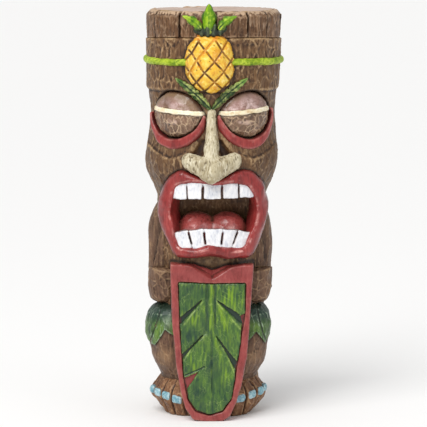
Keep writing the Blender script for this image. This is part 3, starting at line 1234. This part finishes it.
def limb(side):
    label = SIDES[side]

    def out(p):
        """The distance to the side, from the middle of the lower body."""
        return (p[0] - table(p[2], LIMB_SHIFT)) * side

    def log_cut(p, f, depth=93):
        return most(f, depth - radius(p))

    def span(x0, x1, y0, y1, z0, z1):
        return (min(side * x0, side * x1) - 6, y0, z0), (max(side * x0, side * x1) + 4, y1, z1)

    def wrist(p):
        """Height above the arched line where the hand meets the arm."""
        return p[2] - 266 - 8 * bump(p[1] + 52, 32)

    def elbow(p):
        """Distance behind the groove that runs down the arm."""
        return p[1] + 43 + 0.12 * (p[2] - 330)

    def arm(p):
        x = out(p)
        reach = np.interp(p[2], [262, 272, 300, 340, 366, 400], [33, 33, 33, 33.8, 33.5, 31]).astype(F)
        f = np.hypot(x - 81.5, p[1] + 16) - reach
        f = smax(f, p[2] - 404 + 0.35 * (x - 82) ** 2 / 10, 26)
        f = f + 1.2 * wobble(p, 60, 101 + side) + 2.4 * bump(elbow(p), 2.6) * step01(p[2], 276, 296)
        f = scoops(p, f, ARM_CELL, 1.3, 102 + side)
        f = scoops(p, f, (6, 6, 30), 0.5, 104 + side)
        return smax(log_cut(p, f), 0.2 - wrist(p), 1.2)

    def arm_marks(q):
        low = fall(wrist(q), 0.8, 3)
        inner = bump(elbow(q), 3.0) * step01(q[2], 276, 296)
        return dict(ridge=crackle(q, ARM_CELL, 102 + side, 0.06) * 0.6, wash=most(low * 0.5, inner * 0.6))

    def hand(p):
        x = out(p)
        r = np.interp(p[2], [205, 212, 228, 246, 260, 276], [27, 31.5, 36, 37.6, 37.2, 36.6]).astype(F)
        f = np.hypot(x - 77.5, p[1] + 42 - 0.22 * (284 - p[2]) * 0.6) - r
        f = smax(f, wrist(p) + 0.2, 2.0)
        f = smax(f, 208.5 - p[2], 13)
        f = scoops(p, f + 1.2 * wobble(p, 40, 111 + side), HAND_CELL, 1.8, 112 + side)
        return log_cut(p, f)

    def hand_marks(q):
        top = bump(wrist(q) + 1.8, 1.0) * 0.5
        return dict(ridge=most(crackle(q, HAND_CELL, 112 + side, 0.11), top),
                    wash=fall(q[2], 207, 216) * 0.8)

    def haunch(p):
        """The leg with the leaf draped over its top."""
        half_x, front, radial = (table(p[2], zip(LEVELS, row)) for row in HAUNCH)
        x = out(p)
        middle, deep = (13 - front) / 2, (13 + front) / 2
        qx, qy = x - (half_x - HAUNCH_CORNER), np.abs(p[1] - middle) - (deep - HAUNCH_CORNER)
        f = np.hypot(most(qx, 0), most(qy, 0)) + least(most(qx, qy), 0) - HAUNCH_CORNER
        return smax(f, np.hypot(x, p[1]) - radial, 9) * F(0.94)

    def knee_hem(p):
        back = step01(p[1], -20, 4)
        ripple = 13 * np.abs(np.sin((p[1] + 14) * 0.095))
        front = table(p[0] * side, HEM[side])
        return front * (1 - back) + (146 + ripple) * back

    def fold(p):
        """Distance outside the slanting fold down the knee's leaf."""
        return out(p) - 92 + 0.30 * (p[2] - 190)

    def knee(p):
        f = smax(haunch(p), p[2] - 209.5, 12)
        f = f + 1.2 * wobble(p, 46, 121 + side) + 1.7 * bump(fold(p), 1.7) * (p[1] < -20)
        f = scoops(p, f, KNEE_CELL, 1.3, 122 + side)
        f = smax(f, knee_hem(p) - p[2], 2.2)
        return log_cut(p, f)

    def knee_marks(q):
        over_hem = q[2] - knee_hem(q)
        high = step01(q[2], 156, 198) * (1 - 0.5 * bump(out(q) - 62, 9) * bump(q[2] - 182, 12))
        crease = bump(fold(q), 1.8) * (q[1] < -20)
        ridge = most(bump(over_hem - 2.4, 1.4) * 0.35, crackle(q, KNEE_CELL, 122 + side, 0.07) * 0.4)
        sheen = bump(out(q) - (75 if side < 0 else 66), 8) * bump(q[2] - 177, 11) * 0.75
        return dict(tint=high * 0.95, ridge=most(ridge, sheen),
                    wash=most(step01(q[2], 193, 205) * 0.85, fall(over_hem, 0.3, 2.0), crease * 0.6))

    def leg(p):
        f = haunch(p) + 2.6 * step01(p[2], 106, 126)
        f = smax(f, p[2] - 190, 10)
        f = scoops(p, f + 1.0 * wobble(p, 44, 131 + side), LEG_CELL, 1.4, 132 + side)
        return most(log_cut(p, f, 84), 64 - p[2])

    def leg_marks(q):
        patch = bump(out(q) - 84, 16) * bump(q[2] - 112, 20) * (0.62 if side < 0 else 0.45)
        shade = bump(q[2] - knee_hem(q) + 1, 5)
        return dict(ridge=crackle(q, LEG_CELL, 132 + side, 0.06) * 0.6, tint=patch,
                    wash=most(fall(q[2], 68, 76) * 0.5, shade * 0.6))

    angles, splits, nail_z = TOES[side]

    def toes(p):
        x = out(p)
        return np.degrees(np.arctan2(x, -p[1])), np.hypot(x, p[1])

    def foot(p):
        turn, r = toes(p)
        z = p[2]
        share = step01(turn, 38, 78)
        fore, aft = table(z, FOOT_FRONT), table(z, FOOT_SIDE)
        f = (r - (fore + (aft - fore) * share).astype(F)) * F(0.85)
        for split in splits:
            gap = (turn - split) * DEGREE * r
            f = f + 4.5 * bump(gap, 2.4) * step01(r, 88, 104) * (0.4 + 0.6 * fall(z, 40, 58))
            f = f + 1.8 * bump(gap, 4.5) * fall(z, 12, 34)
        f = smax(f, z - 71.5 + 0.4 * wobble(p, 22, 141), 9)
        f = smax(f, most(21 - turn, turn - 84) * DEGREE * r, 12)
        f = f + 0.9 * wobble(p, 30, 142 + side)
        f = scoops(p, f, FOOT_CELL, 1.3, 143 + side)
        f = most(f, -z, 0.3 - outline(p, BOARD, 3) - 50 * (p[1] > -92))
        return log_cut(p, f, 82)

    def foot_marks(q):
        turn, r = toes(q)
        gap = least(*(np.abs(turn - k) for k in splits)) * DEGREE * r
        wash = fall(gap, 0.8, 3.2) * fall(q[2], 44, 62) * step01(r, 94, 104)
        return dict(wash=most(wash * 0.85, step01(-q[2], -5, 0) * 0.5),
                    ridge=crackle(q, FOOT_CELL, 143 + side, 0.09) * 0.8)

    def nails(p):
        x = out(p)
        each = []
        for k, (angle, z0, w) in enumerate(zip(angles, nail_z, (10.6, 9.8, 9.0, 8.0))):
            a = math.radians(angle)
            depth = x * math.sin(a) - p[1] * math.cos(a)
            across = x * math.cos(a) + p[1] * math.sin(a)
            tall = p[2] - z0 - 0.10 * across
            f = smax(np.abs(across) - w, np.abs(tall) - 7.2, 5)
            face = 116.4 - (2.2 if k == 3 and side > 0 else 0) - 0.020 * across ** 2
            face = face - 0.016 * tall ** 2 - 0.20 * most(tall, 0)
            each.append(smax(f, most(depth - face, face - 9 - depth), 3))
        return least(*each) + 0.35 * wobble(p, 11, 151)

    def nail_marks(q):
        edge = bump(wobble(q, 9, 152) - 0.4, 0.25)
        return dict(ridge=edge * 0.7, wash=fall(np.hypot(out(q), q[1]), 110.5, 112) * 0.9)

    piece(f"arm_{label}", [f"arm_{label}"], "limb_brown", "limb", *span(44, 120, -56, 24, 262, 412),
          1.4,
          arm, arm_marks)
    piece(f"hand_{label}", [f"hand_{label}"], "limb_brown", "limb", *span(36, 120, -92, 4, 205, 280),
          1.3,
          hand, hand_marks)
    piece(f"knee_{label}", [f"knee_leaf_{label}"], "knee_green", "knee",
          *span(28, 129, -97, 16, 128, 214), 1.25,
          knee, knee_marks, edge=0.5)
    piece(f"leg_{label}", [f"leg_{label}"], "limb_brown", "limb", *span(20, 121, -97, 18, 64, 194),
          1.5,
          leg, leg_marks)
    piece(f"foot_{label}", [f"foot_{label}"], "foot_brown", "foot", *span(20, 121, -114, 6, 0, 79),
          1.2,
          foot, foot_marks)
    piece(f"nails_{label}", [f"toenails_{label}"], "nail_blue", "nail",
          *span(40, 122, -114, -28, 20, 60), 0.9,
          nails, nail_marks, edge=0.5, crease=9)


for side in (LEFT, RIGHT):
    brow_leaf(side)
    eye(side)
    limb(side)
for i in range(5):
    tooth("upper", i, True)
    tooth("lower", i, False)

build_camera()
build_stage()
with ThreadPoolExecutor(4) as pool:
    for job, made in zip(JOBS, pool.map(sculpt, JOBS)):
        build(job, *made)
for name in ("face_dowels", "board_dowels", "limb_dowels"):
    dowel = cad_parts[name]
    dowel.data.materials.clear()
    dowel.data.materials.append(PAINT["dowel"])
